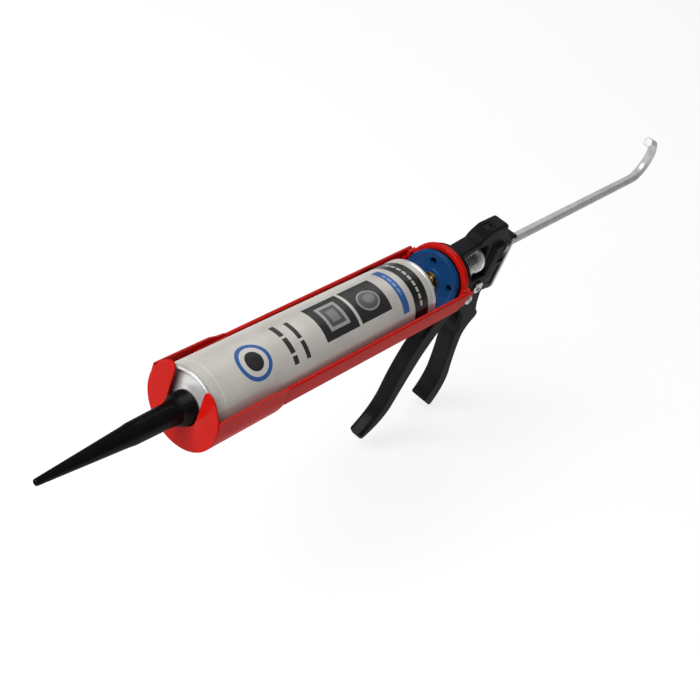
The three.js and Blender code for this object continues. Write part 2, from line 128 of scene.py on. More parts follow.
class Look:
    """A procedural material. Lengths in its textures are in millimetres, in the row frame."""

    def __init__(self, name, metallic=0.0, **settings):
        self.material = bpy.data.materials.new(name)
        self.material.use_nodes = True
        self.tree = self.material.node_tree
        self.shader = self.tree.nodes["Principled BSDF"]
        self.shader.inputs["Metallic"].default_value = metallic
        for socket, value in settings.items():
            self.shader.inputs[socket.replace("_", " ")].default_value = value

    def put(self, value, socket):
        if isinstance(value, bpy.types.NodeSocket):
            self.tree.links.new(value, socket)
        elif isinstance(value, (tuple, list)) and len(value) == 3 and socket.type == "RGBA":
            socket.default_value = (*value, 1)
        else:
            socket.default_value = value

    def math(self, operation, *values):
        node = self.tree.nodes.new("ShaderNodeMath")
        node.operation = operation
        for value, socket in zip(values, node.inputs):
            self.put(value, socket)
        return node.outputs[0]

    def place(self, stretch=(1, 1, 1)):
        """Object coordinates in millimetres, each axis multiplied by its stretch."""
        coordinates = self.tree.nodes.new("ShaderNodeTexCoord")
        mapping = self.tree.nodes.new("ShaderNodeMapping")
        mapping.inputs["Scale"].default_value = [factor / MM for factor in stretch]
        self.tree.links.new(coordinates.outputs["Object"], mapping.inputs["Vector"])
        return mapping.outputs[0]

    def noise(self, scale, stretch=(1, 1, 1), detail=3.0, rough=0.55):
        """Fractal noise with about scale features per millimetre."""
        node = self.tree.nodes.new("ShaderNodeTexNoise")
        self.put(self.place(stretch), node.inputs["Vector"])
        node.inputs["Scale"].default_value = scale
        node.inputs["Detail"].default_value = detail
        node.inputs["Roughness"].default_value = rough
        return node.outputs["Fac"]

    def remap(self, value, low, high, to_low=0.0, to_high=1.0):
        node = self.tree.nodes.new("ShaderNodeMapRange")
        for socket, number in zip(node.inputs, (value, low, high, to_low, to_high)):
            self.put(number, socket)
        return node.outputs[0]

    def mix(self, share, first, second):
        node = self.tree.nodes.new("ShaderNodeMix")
        node.data_type = "RGBA"
        self.put(share, node.inputs["Factor"])
        colours = [socket for socket in node.inputs if socket.type == "RGBA"]
        self.put(first, colours[0])
        self.put(second, colours[1])
        return next(socket for socket in node.outputs if socket.type == "RGBA")

    def edges(self, low, high):
        """1 on worn convex edges, 0 on flats, broken up by noise."""
        geometry = self.tree.nodes.new("ShaderNodeNewGeometry")
        sharp = self.remap(geometry.outputs["Pointiness"], low, high)
        return self.math("MULTIPLY", sharp, self.remap(self.noise(0.6), 0.42, 0.62))

    def scratches(self, stretch, amount):
        """Sparse fine lines, stretched along one axis."""
        return self.remap(self.noise(1.0, stretch, detail=2.0), 0.66, 0.74, 0.0, amount)

    def bump(self, height, depth, under=None):
        """A bump of height 0 to 1 over that many millimetres, on top of an earlier one."""
        node = self.tree.nodes.new("ShaderNodeBump")
        node.inputs["Distance"].default_value = depth * MM
        self.put(height, node.inputs["Height"])
        if under is not None:
            self.put(under, node.inputs["Normal"])
        return node.outputs[0]

    def finish(self, colour, roughness, normal=None):
        self.put(colour, self.shader.inputs["Base Color"])
        self.put(roughness, self.shader.inputs["Roughness"])
        if normal is not None:
            self.put(normal, self.shader.inputs["Normal"])
        return self.material


def enamel(name, bright, deep, worn, rough=(0.2, 0.34)):
    """Glossy stove enamel: slightly uneven colour, orange peel and hairline scratches."""
    look = Look(name, Specular_IOR_Level=0.0, Coat_Weight=0.22, Coat_Roughness=0.14)
    colour = look.mix(look.remap(look.noise(0.03, detail=4), 0.35, 0.65), bright, deep)
    hairlines = look.scratches((0.02, 2.2, 2.2), 0.1)
    colour = look.mix(hairlines, colour, worn)
    roughness = look.remap(look.noise(0.1), 0.3, 0.7, *rough)
    roughness = look.math("ADD", roughness, hairlines)
    peel = look.bump(look.noise(0.25, detail=1), 0.012)
    return look.finish(colour, roughness, look.bump(look.noise(1.4, detail=1), 0.0012, peel))


def cast_black(name):
    """Satin black powder coat over a die casting, paler where hands rub its edges."""
    look = Look(name, Specular_IOR_Level=0.0, Coat_Weight=0.13, Coat_Roughness=0.28)
    cloud = look.remap(look.noise(0.08, detail=5), 0.35, 0.65)
    colour = look.mix(cloud, (0.008, 0.0078, 0.0078), (0.013, 0.0125, 0.0123))
    colour = look.mix(look.edges(0.54, 0.62), colour, (0.025, 0.024, 0.023))
    roughness = look.remap(look.noise(0.2, detail=5), 0.3, 0.7, 0.24, 0.36)
    roughness = look.math("ADD", roughness, look.scratches((1.6, 1.6, 0.05), 0.15))
    flow = look.bump(look.noise(0.12, detail=2), 0.12)
    return look.finish(colour, roughness, look.bump(look.noise(2.2, detail=2), 0.012, flow))


def plated_steel(name, bright, dull, along=(0.03, 1.6, 1.6), rough=(0.24, 0.4), metallic=1.0):
    """Zinc-plated steel with drawing lines along one axis and a cloudy passivated film."""
    look = Look(name, metallic)
    cloud = look.remap(look.noise(0.12, detail=5), 0.35, 0.65)
    colour = look.mix(cloud, bright, dull)
    lines = look.noise(1.4, along, detail=4)
    colour = look.mix(look.remap(lines, 0.5, 0.8, 0, 0.5), colour, tuple(c * 0.6 for c in dull))
    roughness = look.remap(lines, 0.3, 0.7, *rough)
    pits = look.bump(look.noise(2.5), 0.004)
    return look.finish(colour, roughness, look.bump(lines, 0.005, pits))


def rod_steel(name):
    """Plated hexagonal bar: drawn lengthways, with short cross marks where the plates bite."""
    look = Look(name, metallic=0.45)
    lines = look.noise(1.4, (0.02, 1.8, 1.8), detail=4)
    film = look.remap(look.noise(0.1, detail=5), 0.35, 0.65)
    colour = look.mix(film, (0.57, 0.58, 0.58), (0.47, 0.485, 0.49))
    colour = look.mix(look.remap(lines, 0.5, 0.8, 0, 0.4), colour, (0.34, 0.35, 0.36))
    bites = look.remap(look.noise(1.0, (1.6, 0.12, 0.12), detail=2), 0.6, 0.68, 0, 0.5)
    colour = look.mix(bites, colour, (0.66, 0.66, 0.65))
    roughness = look.remap(lines, 0.3, 0.7, 0.34, 0.5)
    surface = look.bump(lines, 0.02)
    return look.finish(colour, roughness, look.bump(bites, 0.02, surface))


def brass_metal(name):
    look = Look(name, metallic=1.0)
    tarnish = look.remap(look.noise(0.35, detail=5), 0.4, 0.62)
    colour = look.mix(tarnish, (0.4, 0.27, 0.1), (0.1, 0.065, 0.03))
    roughness = look.remap(look.noise(0.8), 0.3, 0.7, 0.2, 0.34)
    return look.finish(colour, roughness, look.bump(look.noise(1.2, (1, 0.1, 1)), 0.003))


def bright_aluminium(name):
    """Drawn aluminium can: bright, with turned rings round its axis and small dents."""
    look = Look(name, metallic=0.5)
    colour = look.mix(look.noise(0.3), (0.78, 0.77, 0.76), (0.66, 0.66, 0.66))
    rings = look.noise(2.2, (1, 0.02, 0.02), detail=3)
    roughness = look.remap(rings, 0.3, 0.7, 0.22, 0.34)
    dents = look.bump(look.noise(0.08, detail=2), 0.12)
    return look.finish(colour, roughness, look.bump(rings, 0.006, dents))


def moulded(name, colour_a, colour_b, rough=(0.36, 0.5), grain=0.012):
    """Injection-moulded plastic: faint flow clouding and a fine spark-eroded grain."""
    look = Look(name, Specular_IOR_Level=0.0, Coat_Weight=0.2, Coat_Roughness=0.24)
    colour = look.mix(look.remap(look.noise(0.1, detail=5), 0.35, 0.65), colour_a, colour_b)
    colour = look.mix(look.edges(0.55, 0.64), colour, tuple(c * 1.4 + 0.01 for c in colour_a))
    roughness = look.remap(look.noise(0.5, detail=4), 0.3, 0.7, *rough)
    flow = look.bump(look.noise(0.2, detail=2), 0.06)
    return look.finish(colour, roughness, look.bump(look.noise(4.5), grain, flow))


LABEL_SILVER = (0.6, 0.57, 0.53)
LABEL_GREY = (0.022, 0.022, 0.024)
LABEL_BLUE = (0.03, 0.11, 0.34)
LABEL_BLACK = (0.03, 0.03, 0.03)


def printed_label(name):
    """Printed silver film. Its artwork is plain blocks, bars, dashes and ovals. Positions are x in
    millimetres and degrees round the tube from the top, towards the gun's left."""
    look = Look(name, metallic=0.12, Specular_IOR_Level=0.3)
    split = look.tree.nodes.new("ShaderNodeSeparateXYZ")
    look.put(look.place(), split.inputs[0])
    x, y, z = split.outputs
    height = look.math("ADD", z, TUBE_DROP)
    turn = look.math("MULTIPLY", look.math("ARCTAN2", y, height), 180 / math.pi)

    def near(value, centre, half):
        return look.math("COMPARE", value, centre, half)

    def panel(x0, x1, a0, a1):
        along = near(x, (x0 + x1) / 2, (x1 - x0) / 2)
        around = near(turn, (a0 + a1) / 2, (a1 - a0) / 2)
        return look.math("MULTIPLY", along, around)

    def oval(xc, ac, x_half, a_half):
        dx = look.math("DIVIDE", look.math("SUBTRACT", x, xc), x_half)
        da = look.math("DIVIDE", look.math("SUBTRACT", turn, ac), a_half)
        square = look.math("ADD", look.math("MULTIPLY", dx, dx), look.math("MULTIPLY", da, da))
        return look.math("LESS_THAN", square, 1.0)

    cloud = look.remap(look.noise(0.05, detail=4), 0.35, 0.65)
    colour = look.mix(cloud, LABEL_SILVER, tuple(c * 0.9 for c in LABEL_SILVER))
    dashes = look.math("LESS_THAN", look.math("PINGPONG", turn, 5.5), 4.2)
    prints = [
        (near(x, 225.2, 0.25), tuple(c * 1.25 for c in LABEL_SILVER)),
        (near(x, 40.2, 7.4), (0.009, 0.009, 0.01)),
        (look.math("MULTIPLY", panel(39.2, 41.6, -40, 60), dashes), (0.5, 0.49, 0.47)),
        (panel(53.6, 60.2, -30, 59), LABEL_BLUE),
        (look.math("MULTIPLY", panel(55.9, 57.9, -14, 30), dashes), (0.2, 0.32, 0.6)),
        (panel(70.4, 101.3, -20, 42.5), LABEL_GREY),
        (oval(86, 14, 10, 17), (0.3, 0.3, 0.3)),
        (oval(86, 14, 8.6, 14.4), (0.1, 0.1, 0.105)),
        (oval(84.5, 12, 5, 8), (0.2, 0.2, 0.2)),
        (panel(104, 135.8, -20, 43.2), LABEL_GREY),
        (panel(110.5, 129, -10, 32), (0.34, 0.335, 0.33)),
        (panel(113, 126.5, -5, 27), (0.08, 0.08, 0.085)),
        (panel(116, 123.5, 1, 21), (0.2, 0.2, 0.2)),
        (panel(152.5, 156, -12, 20), LABEL_BLACK),
        (panel(152.5, 156, 24, 50), LABEL_BLACK),
        (panel(163, 167, -16, 6), LABEL_BLACK),
        (panel(163, 167, 10, 34), LABEL_BLACK),
        (panel(163, 167, 38, 50), LABEL_BLACK),
        (oval(194, 20, 12.5, 28), LABEL_BLUE),
        (oval(194, 20, 9.8, 22), LABEL_SILVER),
        (oval(194, 20, 6.4, 14.6), LABEL_GREY),
    ]
    for mask, ink in prints:
        colour = look.mix(mask, colour, ink)
    roughness = look.remap(look.noise(0.3), 0.3, 0.7, 0.3, 0.42)
    roughness = look.math("ADD", roughness, look.scratches((0.04, 1.5, 1.5), 0.2))
    wrinkles = look.bump(look.noise(0.05, (1, 2, 2), detail=2), 0.35)
    return look.finish(colour, roughness, look.bump(look.noise(1.5), 0.006, wrinkles))


RED = enamel("red_enamel", (0.52, 0.0085, 0.0048), (0.47, 0.007, 0.0038), (0.4, 0.025, 0.018))
BLUE = enamel("blue_enamel", (0.006, 0.05, 0.165), (0.005, 0.038, 0.13), (0.03, 0.08, 0.18), (0.16, 0.26))
BLACK = cast_black("black_casting")
ZINC = plated_steel("zinc_screws", (0.56, 0.57, 0.56), (0.44, 0.45, 0.44), (1, 1, 1))
PLATE = plated_steel(
    "plate_steel", (0.88, 0.88, 0.86), (0.8, 0.8, 0.79), (1.4, 1.4, 0.05), (0.4, 0.55), 0.75,
)
LEVER = plated_steel("lever_steel", (0.5, 0.5, 0.5), (0.4, 0.4, 0.4), (0.05, 1.4, 0.05), (0.42, 0.55))
WIRE = plated_steel("spring_wire", (0.34, 0.34, 0.35), (0.22, 0.22, 0.23), (1, 1, 1), (0.2, 0.32))
ROD = rod_steel("rod_steel")
BRASS = brass_metal("brass")
CAN = bright_aluminium("tube_aluminium")
LABEL = printed_label("label_film")
WHITE = moulded("piston_plastic", (0.7, 0.7, 0.67), (0.62, 0.62, 0.6))
NOZZLE = moulded("nozzle_plastic", (0.0026, 0.0026, 0.0028), (0.005, 0.0049, 0.0049), (0.26, 0.36), 0.004)
PAD = moulded("pad_plastic", (0.007, 0.007, 0.007), (0.012, 0.012, 0.012), (0.34, 0.46), 0.008)


# ---- mesh building ----

def rounded(points, steps=4):
    """A closed outline whose corners are cut to curves. Each point is (a, b) or (a, b, cut length)."""
    result = []
    count = len(points)
    for i, point in enumerate(points):
        corner = Vector(point[:2])
        cut = point[2] if len(point) > 2 else 0
        before = Vector(points[i - 1][:2]) - corner
        after = Vector(points[(i + 1) % count][:2]) - corner
        cut = min(cut, before.length * 0.48, after.length * 0.48)
        if cut <= 0:
            result.append(tuple(corner))
            continue
        start = corner + before.normalized() * cut
        end = corner + after.normalized() * cut
        for k in range(steps + 1):
            t = k / steps
            place = start.lerp(corner, t).lerp(corner.lerp(end, t), t)
            result.append(tuple(place))
    return result


def arc(cx, cz, radius, start, end, steps):
    """Points on an arc, its angles in degrees."""
    angles = [math.radians(start + (end - start) * k / steps) for k in range(steps + 1)]
    return [(cx + radius * math.cos(angle), cz + radius * math.sin(angle)) for angle in angles]


def loft(sections, closed=False):
    """A mesh through sections that all have as many points. Its ends are capped unless it's closed."""
    bm = bmesh.new()
    rows = [[bm.verts.new(point) for point in section] for section in sections]
    size = len(rows[0])
    pairs = list(zip(rows, rows[1:]))
    if closed:
        pairs.append((rows[-1], rows[0]))
    for first, second in pairs:
        for k in range(size):
            after = (k + 1) % size
            bm.faces.new((first[k], first[after], second[after], second[k]))
    if not closed:
        bm.faces.new(rows[0])
        bm.faces.new(rows[-1])
    bmesh.ops.recalc_face_normals(bm, faces=bm.faces)
    return bm


def turned(profile, segments=96, centre_z=0.0):
    """A closed profile of (x, radius) points turned about a line along X."""
    sections = []
    for k in range(segments):
        angle = 2 * math.pi * k / segments
        sections.append([
            (x, radius * math.sin(angle), centre_z + radius * math.cos(angle)) for x, radius in profile
        ])
    bm = loft(sections, closed=True)
    bmesh.ops.remove_doubles(bm, verts=bm.verts, dist=1e-4)
    bmesh.ops.delete(bm, geom=[edge for edge in bm.edges if edge.is_wire], context="EDGES")
    bmesh.ops.recalc_face_normals(bm, faces=bm.faces)
    return bm


def turned_along_y(profile, x, z, segments=48):
    """A closed profile of (y, radius) points turned about a line along Y through (x, z)."""
    bm = turned(profile, segments)
    bm.transform(Matrix.Translation((x, 0, z)) @ Matrix.Rotation(math.pi / 2, 4, "Z"))
    return bm


def sideways(outline, y0, y1):
    """An outline in X and Z, extruded along Y."""
    return loft([[(x, y, z) for x, z in outline] for y in (y0, y1)])


def lengthways(outline, x0, x1):
    """An outline in Y and Z, extruded along X."""
    return loft([[(x, y, z) for y, z in outline] for x in (x0, x1)])


def block(x0, x1, y0, y1, z0, z1):
    return sideways([(x0, z0), (x1, z0), (x1, z1), (x0, z1)], y0, y1)


def swept(section, frames):
    """A section of (a, b) points carried along frames of (origin, a direction, b direction, scale)."""
    return loft([
        [tuple(origin + along_a * a * scale + along_b * b * scale) for a, b in section]
        for origin, along_a, along_b, scale in frames
    ])


def coil(radius, wire, x0, x1, turns, facets=10):
    """A compression spring round the rod, wound closer towards its ends."""
    steps = 28 * turns
    frames = []
    for k in range(steps + 1):
        t = k / steps
        eased = t - 0.5 / turns * math.sin(2 * math.pi * t)
        angle = 2 * math.pi * turns * t
        out = Vector((0, math.sin(angle), math.cos(angle)))
        origin = out * radius + Vector((x0 + wire + (x1 - x0 - 2 * wire) * eased, 0, 0))
        frames.append((origin, out, Vector((1, 0, 0)), 1))
    angles = [2 * math.pi * k / facets for k in range(facets)]
    circle = [(wire * math.cos(angle), wire * math.sin(angle)) for angle in angles]
    return swept(circle, frames)


def hexagon(flats, cut=0.0, steps=2, first=0):
    corner = flats / math.sqrt(3)
    angles = [math.radians(first + 60 * k) for k in range(6)]
    return rounded([(corner * math.cos(a), corner * math.sin(a), cut) for a in angles], steps)


def mirrored(bm):
    copy = bm.copy()
    copy.transform(Matrix.Scale(-1, 4, (0, 1, 0)))
    bmesh.ops.reverse_faces(copy, faces=copy.faces)
    return copy


def together(*parts):
    """Several closed meshes as one."""
    whole = bmesh.new()
    for part in parts:
        mesh = bpy.data.meshes.new("part")
        part.to_mesh(mesh)
        whole.from_mesh(mesh)
        bpy.data.meshes.remove(mesh)
    return whole


def as_object(name, bm):
    """The mesh as an object, now in metres."""
    mesh = bpy.data.meshes.new(name)
    bm.transform(Matrix.Scale(MM, 4))
    bm.to_mesh(mesh)
    bm.free()
    obj = bpy.data.objects.new(name, mesh)
    bpy.context.scene.collection.objects.link(obj)
    return obj


def apply_modifiers(obj):
    graph = bpy.context.evaluated_depsgraph_get()
    mesh = bpy.data.meshes.new_from_object(obj.evaluated_get(graph))
    obj.modifiers.clear()
    obj.data = mesh
    return obj


def carve(obj, *tools, operation="DIFFERENCE"):
    """Cuts closed meshes out of obj, or adds or keeps them by another operation."""
    for tool in tools:
        cutter = as_object("tool", tool)
        modifier = obj.modifiers.new("carve", "BOOLEAN")
        modifier.operation = operation
        modifier.solver = "EXACT"
        modifier.object = cutter
        apply_modifiers(obj)
        bpy.data.objects.remove(cutter)
    return obj


def soften(obj, width, segments=2, angle=35):
    """Rounds the edges sharper than angle over that width in millimetres."""
    modifier = obj.modifiers.new("edges", "BEVEL")
    modifier.width = width * MM
    modifier.segments = segments
    modifier.limit_method = "ANGLE"
    modifier.angle_limit = math.radians(angle)
    modifier.harden_normals = True
    modifier.use_clamp_overlap = True
    return obj


def shade(obj, angle=30):
    mesh = obj.data
    mesh.polygons.foreach_set("use_smooth", [True] * len(mesh.polygons))
    mesh.set_sharp_from_angle(angle=math.radians(angle))
    return obj


def dress(obj, body, slot, material, *nodes):
    """Gives a finished piece its material, hangs it on its body and hides the CAD nodes it replaces."""
    obj.data.materials.clear()
    obj.data.materials.append(material)
    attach(obj, body)
    if nodes:
        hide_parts(*nodes)
    return obj


def recast(node, name, cuts=(), voxel=0.75, rounds=5):
    """A copy of a CAD casting, cut further, then remeshed and smoothed so that its edges and inner corners
    are rounded as in a die casting."""
    source = bmesh.new()
    source.from_mesh(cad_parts[node].data)
    bmesh.ops.remove_doubles(source, verts=source.verts, dist=1e-6)
    source.transform(Matrix.Scale(1 / MM, 4))
    obj = as_object(name, source)
    carve(obj, *cuts)
    remesh = obj.modifiers.new("remesh", "REMESH")
    remesh.mode = "VOXEL"
    remesh.voxel_size = voxel * MM
    remesh.use_smooth_shade = True
    smooth = obj.modifiers.new("smooth", "SMOOTH")
    smooth.factor = 0.5
    smooth.iterations = rounds
    return apply_modifiers(obj)


# ---- cradle ----

def trough(radius, rim_z, steps=48):
    """A U-shaped outline in Y and Z, open at the top."""
    return [(-radius, rim_z)] + arc(0, 0, radius, 180, 360, steps) + [(radius, rim_z)]


def front_plate_outline():
    """A disc with an upright slot for the nozzle between two lobes."""
    tip = math.degrees(LOBE_TIP)
    slot_top = Vector((SLOT_HALF, SLOT_TOP))
    lobe_top = Vector((SLOT_HALF + 0.4, CUP_RADIUS - 3.4))
    rim_start = Vector((CUP_RADIUS * math.cos(LOBE_TIP), CUP_RADIUS * math.sin(LOBE_TIP)))
    left_lobe = [(SLOT_HALF, 0), tuple(slot_top)]
    for k in range(1, 12):
        t = k / 12
        left_lobe.append(tuple(slot_top.lerp(lobe_top, t).lerp(lobe_top.lerp(rim_start, t), t)))
    rim = arc(0, 0, CUP_RADIUS, tip, -180 - tip, 96)
    right_lobe = [(-y, z) for y, z in reversed(left_lobe)]
    bottom = arc(0, 0, SLOT_HALF, 180, 360, 32)[1:-1]
    return left_lobe + rim + right_lobe + bottom


def front_cup():
    """The slotted front plate and the U-shaped sheet behind it, its rear edges cut at a slant."""
    plate = as_object("front_cup_shell", lengthways(front_plate_outline(), PLATE_X - CUP_SHEET, PLATE_X))
    soften(plate, PLATE_ROUNDING, 3, 60)
    apply_modifiers(plate)
    sheet = trough(CUP_RADIUS, CUP_RIM_Z) + trough(CUP_RADIUS - CUP_SHEET, CUP_RIM_Z)[::-1]
    carve(plate, lengthways(sheet, CUP_REAR_X, PLATE_X - PLATE_ROUNDING), operation="UNION")
    reach_x, reach_y = CUP_REAR_X - 10, 40
    bottom_z, top_z = -CUP_RADIUS - 5, CUP_RIM_Z + 5
    below = sideways([
        (reach_x, RAIL_LOW), (CUP_REAR_X, RAIL_LOW), (CUP_REAR_X + 7, bottom_z), (reach_x, bottom_z),
    ], -reach_y, reach_y)
    above = sideways([
        (reach_x, RAIL_HIGH), (CUP_REAR_X, RAIL_HIGH), (CUP_REAR_X + 7, RAIL_HIGH + 0.7),
        (CUP_REAR_X + 14, CUP_RIM_Z), (CUP_REAR_X + 14, top_z), (reach_x, top_z),
    ], -reach_y, reach_y)
    carve(plate, below, above)
    soften(plate, 0.3, 2, 50)
    return dress(shade(plate), "frame", "cradle_paint", RED, "front_cup")


def hand(side):
    return "left" if side > 0 else "right"


def rail(side):
    """A strip with its top edge folded inwards, its rear end cut at a slant. Its tongue lies inside the cup,
    with two small spot welds raised from it towards the cup."""
    outer = CUP_RADIUS
    inner = outer - RAIL_SHEET
    hem = outer - RAIL_HEM
    section = rounded([
        (outer, RAIL_LOW, 0.4), (outer, RAIL_HIGH, 1.3), (hem, RAIL_HIGH, 1.3), (hem, RAIL_HIGH - 4, 0.5),
        (inner, RAIL_HIGH - 4, 0.2), (inner, RAIL_LOW, 0.4),
    ], 5)
    slant = 12 / (RAIL_HIGH - RAIL_LOW - 1)
    rear = [(RAIL_REAR_X + slant * min(max(RAIL_HIGH - 2 - z, 0), 12), y, z) for y, z in section]
    strip = loft([rear] + [[(x, y, z) for y, z in section] for x in (20, 70, 120, CUP_REAR_X - GAP)])
    corner = Matrix.Translation((CUP_REAR_X, outer, 0))
    strip.transform(corner @ Matrix.Rotation(-RAIL_SPREAD, 4, "Z") @ corner.inverted())
    tongue_outer = CUP_RADIUS - CUP_SHEET - GAP
    tongue = block(
        CUP_REAR_X - 6, CUP_REAR_X + 26, tongue_outer - 1, tongue_outer, RAIL_LOW + 3, RAIL_HIGH - 1,
    )
    weld = rounded([
        (tongue_outer - 0.2, 0), (tongue_outer - 0.2, 2.4), (tongue_outer + 0.12, 1.8, 0.4),
        (tongue_outer + 0.12, 0),
    ])
    welds = [turned_along_y(weld, x, 2.5, 24) for x in (CUP_REAR_X + 7, CUP_REAR_X + 19)]
    whole = together(strip, tongue, *welds)
    if side < 0:
        whole = mirrored(whole)
    obj = as_object(f"rail_{hand(side)}_strip", whole)
    soften(obj, 0.2, 2, 60)
    return dress(shade(obj), "frame", "cradle_paint", RED, f"rail_{hand(side)}")


def rear_ring():
    """A bead with its front edge turned in, and on each side the ear, tab and lug that carry a rail."""
    bead = turned(rounded([
        (RING_REAR_X, RING_RADIUS, 0.5), (RING_REAR_X, RING_RADIUS - 2.3, 0.3),
        (RING_LIP_X, RING_RADIUS - 2.3, 0.2), (RING_LIP_X, RING_RADIUS - 3.9, 0.3),
        (RING_FRONT_X, RING_RADIUS - 3.9, 1.0), (RING_FRONT_X, RING_RADIUS, 1.3),
    ], 5), 128)
    ear = block(RING_REAR_X, -7, 23.4, TAB_OUTER_Y, -6, 7.8)
    lug = block(RING_REAR_X + 2, -4, 24.2, 27.5, -5, 3.6)
    tab = sideways(rounded([
        (SCREW_X - 6, -7, 3), (RING_FRONT_X - 0.5, -7, 1), (RING_FRONT_X - 0.5, 3, 1), (SCREW_X - 6, 3, 3),
    ]), TAB_INNER_Y, TAB_OUTER_Y)
    whole = together(bead, ear, tab, lug, mirrored(ear), mirrored(tab), mirrored(lug))
    obj = as_object("rear_ring_band", whole)
    soften(obj, 0.15, 2, 50)
    return dress(shade(obj), "frame", "cradle_paint", RED, "rear_ring")


def rail_screw(side):
    """A pan-head screw with a cross recess."""
    head_y = TAB_OUTER_Y + GAP
    profile = rounded([
        (21.5, 0), (21.5, 1.9, 0.4), (head_y, 1.9), (head_y, 3.6, 0.3), (head_y + 1.8, 3.4, 1.6),
        (head_y + 1.8, 0),
    ], 5)
    screw = turned_along_y(profile, SCREW_X, SCREW_Z, 40)
    if side < 0:
        screw = mirrored(screw)
    obj = as_object(f"rail_screw_head_{hand(side)}", screw)
    y0, y1 = sorted((side * (head_y + 0.7), side * (head_y + 4)))
    centre = Matrix.Translation((SCREW_X, 0, SCREW_Z))
    for turn in (20, 110):
        slot = block(-1.9, 1.9, y0, y1, -0.4, 0.4)
        slot.transform(centre @ Matrix.Rotation(math.radians(turn), 4, "Y"))
        carve(obj, slot)
    return dress(shade(obj), "frame", "screw_steel", ZINC, f"rail_screw_{hand(side)}")


# ---- body and trigger ----

def body():
    """The casting, with a shallow recess and an ejector mark on the bridge and a sunk panel each side of
    the rod guide."""
    recess = sideways(rounded([
        (-47, 31.5), (-47, 30), (-50, 29.9, 2), (-66, 29.9, 2), (-70, 31.5),
    ]), -3.4, 3.4)
    mark = turned_along_y([(-1.7, 0), (-1.7, 1.7), (1.7, 1.7), (1.7, 0)], 0, 0, 24)
    mark.transform(Matrix.Translation((-64, 0.6, 29.4)) @ Matrix.Rotation(math.pi / 2, 4, "X"))
    panel = rounded([(-86.5, 16, 2), (-86.5, -5.6, 2), (-93, -5.6, 1.5), (-93, 11, 2)])
    panels = [sideways(panel, y, y + 4) for y in (5.6, -9.6)]
    casting = recast("body_casting", "body_casting_skin", (recess, mark, *panels), 0.6)
    return dress(shade(casting, 60), "frame", "handle_paint", BLACK, "body_casting")


def trigger():
    lever = recast("trigger", "trigger_lever", (), 0.7, 6)
    return dress(shade(lever, 60), "trigger", "handle_paint", BLACK, "trigger")


def drive_spring():
    """The return spring in front of the drive plate. The real one shortens by the plate's travel; this coil
    is built at one length.
    """
    front_x, rear_x = FLANGE_REAR_X - GAP, DRIVE_X + GAP
    obj = as_object("drive_spring_coil", coil(SPRING_RADIUS, 0.7, rear_x, front_x, 9))
    dress(shade(obj, 60), "frame", "spring_steel", WIRE, "drive_spring")
    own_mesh(obj)


def release_spring():
    """The short spring that tips the release plate back."""
    front_x, rear_x = RELEASE_SEAT_X, RELEASE_X + GAP
    obj = as_object("release_spring_coil", coil(SPRING_RADIUS, 0.6, rear_x, front_x, 2))
    dress(shade(obj, 60), "frame", "spring_steel", WIRE, "release_spring")
    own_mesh(obj)


def trigger_pin():
    """A shouldered pin with a hollow riveted head."""
    head_y = CHEEK_HALF + GAP
    pin = turned_along_y(rounded([
        (-CHEEK_HALF - 4.2, 0), (-CHEEK_HALF - 4.2, PIN_RADIUS, 0.6),
        (head_y, PIN_RADIUS), (head_y, RIVET_RADIUS, 0.3),
        (head_y + 1.8, RIVET_RADIUS, 0.9), (head_y + 1.8, PIN_RADIUS, 0.5),
        (head_y + 0.4, 2.3, 0.4), (head_y + 0.4, 0),
    ]), PIVOT_X, PIVOT_Z, 64)
    return dress(shade(as_object("trigger_pin_rivet", pin)), "frame", "screw_steel", ZINC, "trigger_pin")


def thumb_pad():
    """The moulded pad on the release plate, with grip grooves across its front and sunk sides."""
    x0 = RELEASE_X + GAP
    outline = [(x0, -11.5), (-85, -11.5, 1), (-86, -29, 2), (-88.5, -36.5, 4), (-95, -37, 2), (x0, -37)]
    obj = as_object("thumb_pad_moulding", sideways(rounded(outline, 6), -6, 6))
    panel = rounded([(x0 + 2.4, -14.5, 1.5), (-88, -14.5, 1.5), (-89, -30, 3), (x0 + 2.4, -33.5, 2)], 5)
    carve(obj, sideways(panel, 5.3, 8), sideways(panel, -8, -5.3))
    groove = [(-7, 0), (-7, 0.7), (7, 0.7), (7, 0)]
    for k in range(5):
        carve(obj, turned_along_y(groove, -85.1 - 0.06 * k, -15 - 3.1 * k, 16))
    soften(obj, 0.5, 3, 50)
    return dress(shade(obj), "release", "pad_plastic", PAD, "thumb_pad")


# ---- plunger ----

def rod_frames():
    """Frames along the rod from its front end round the hook to its cut tail. Both ends are chamfered."""
    across = Vector((0, 1, 0))
    up = Vector((0, 0, 1))
    frames = [
        (Vector((ROD_FRONT_X, 0, 0)), across, up, 0.88),
        (Vector((ROD_FRONT_X - 0.6, 0, 0)), across, up, 1),
    ]
    frames += [(Vector((x, 0, 0)), across, up, 1) for x in range(-40, ROD_TAIL_X, -40)]
    steps = 44
    for k in range(steps + 1):
        turn = math.radians(HOOK_TURN * k / steps)
        inwards = Vector((math.sin(turn), 0, math.cos(turn)))
        centre = Vector((ROD_TAIL_X, 0, HOOK_RADIUS))
        frames.append((centre - inwards * HOOK_RADIUS, across, inwards, 1))
    tail, along_a, along_b, _ = frames[-1]
    onwards = Vector((-along_b.z, 0, along_b.x))
    frames.append((tail + onwards * (HOOK_END - 0.6), along_a, along_b, 1))
    frames.append((tail + onwards * HOOK_END, along_a, along_b, 0.86))
    return frames


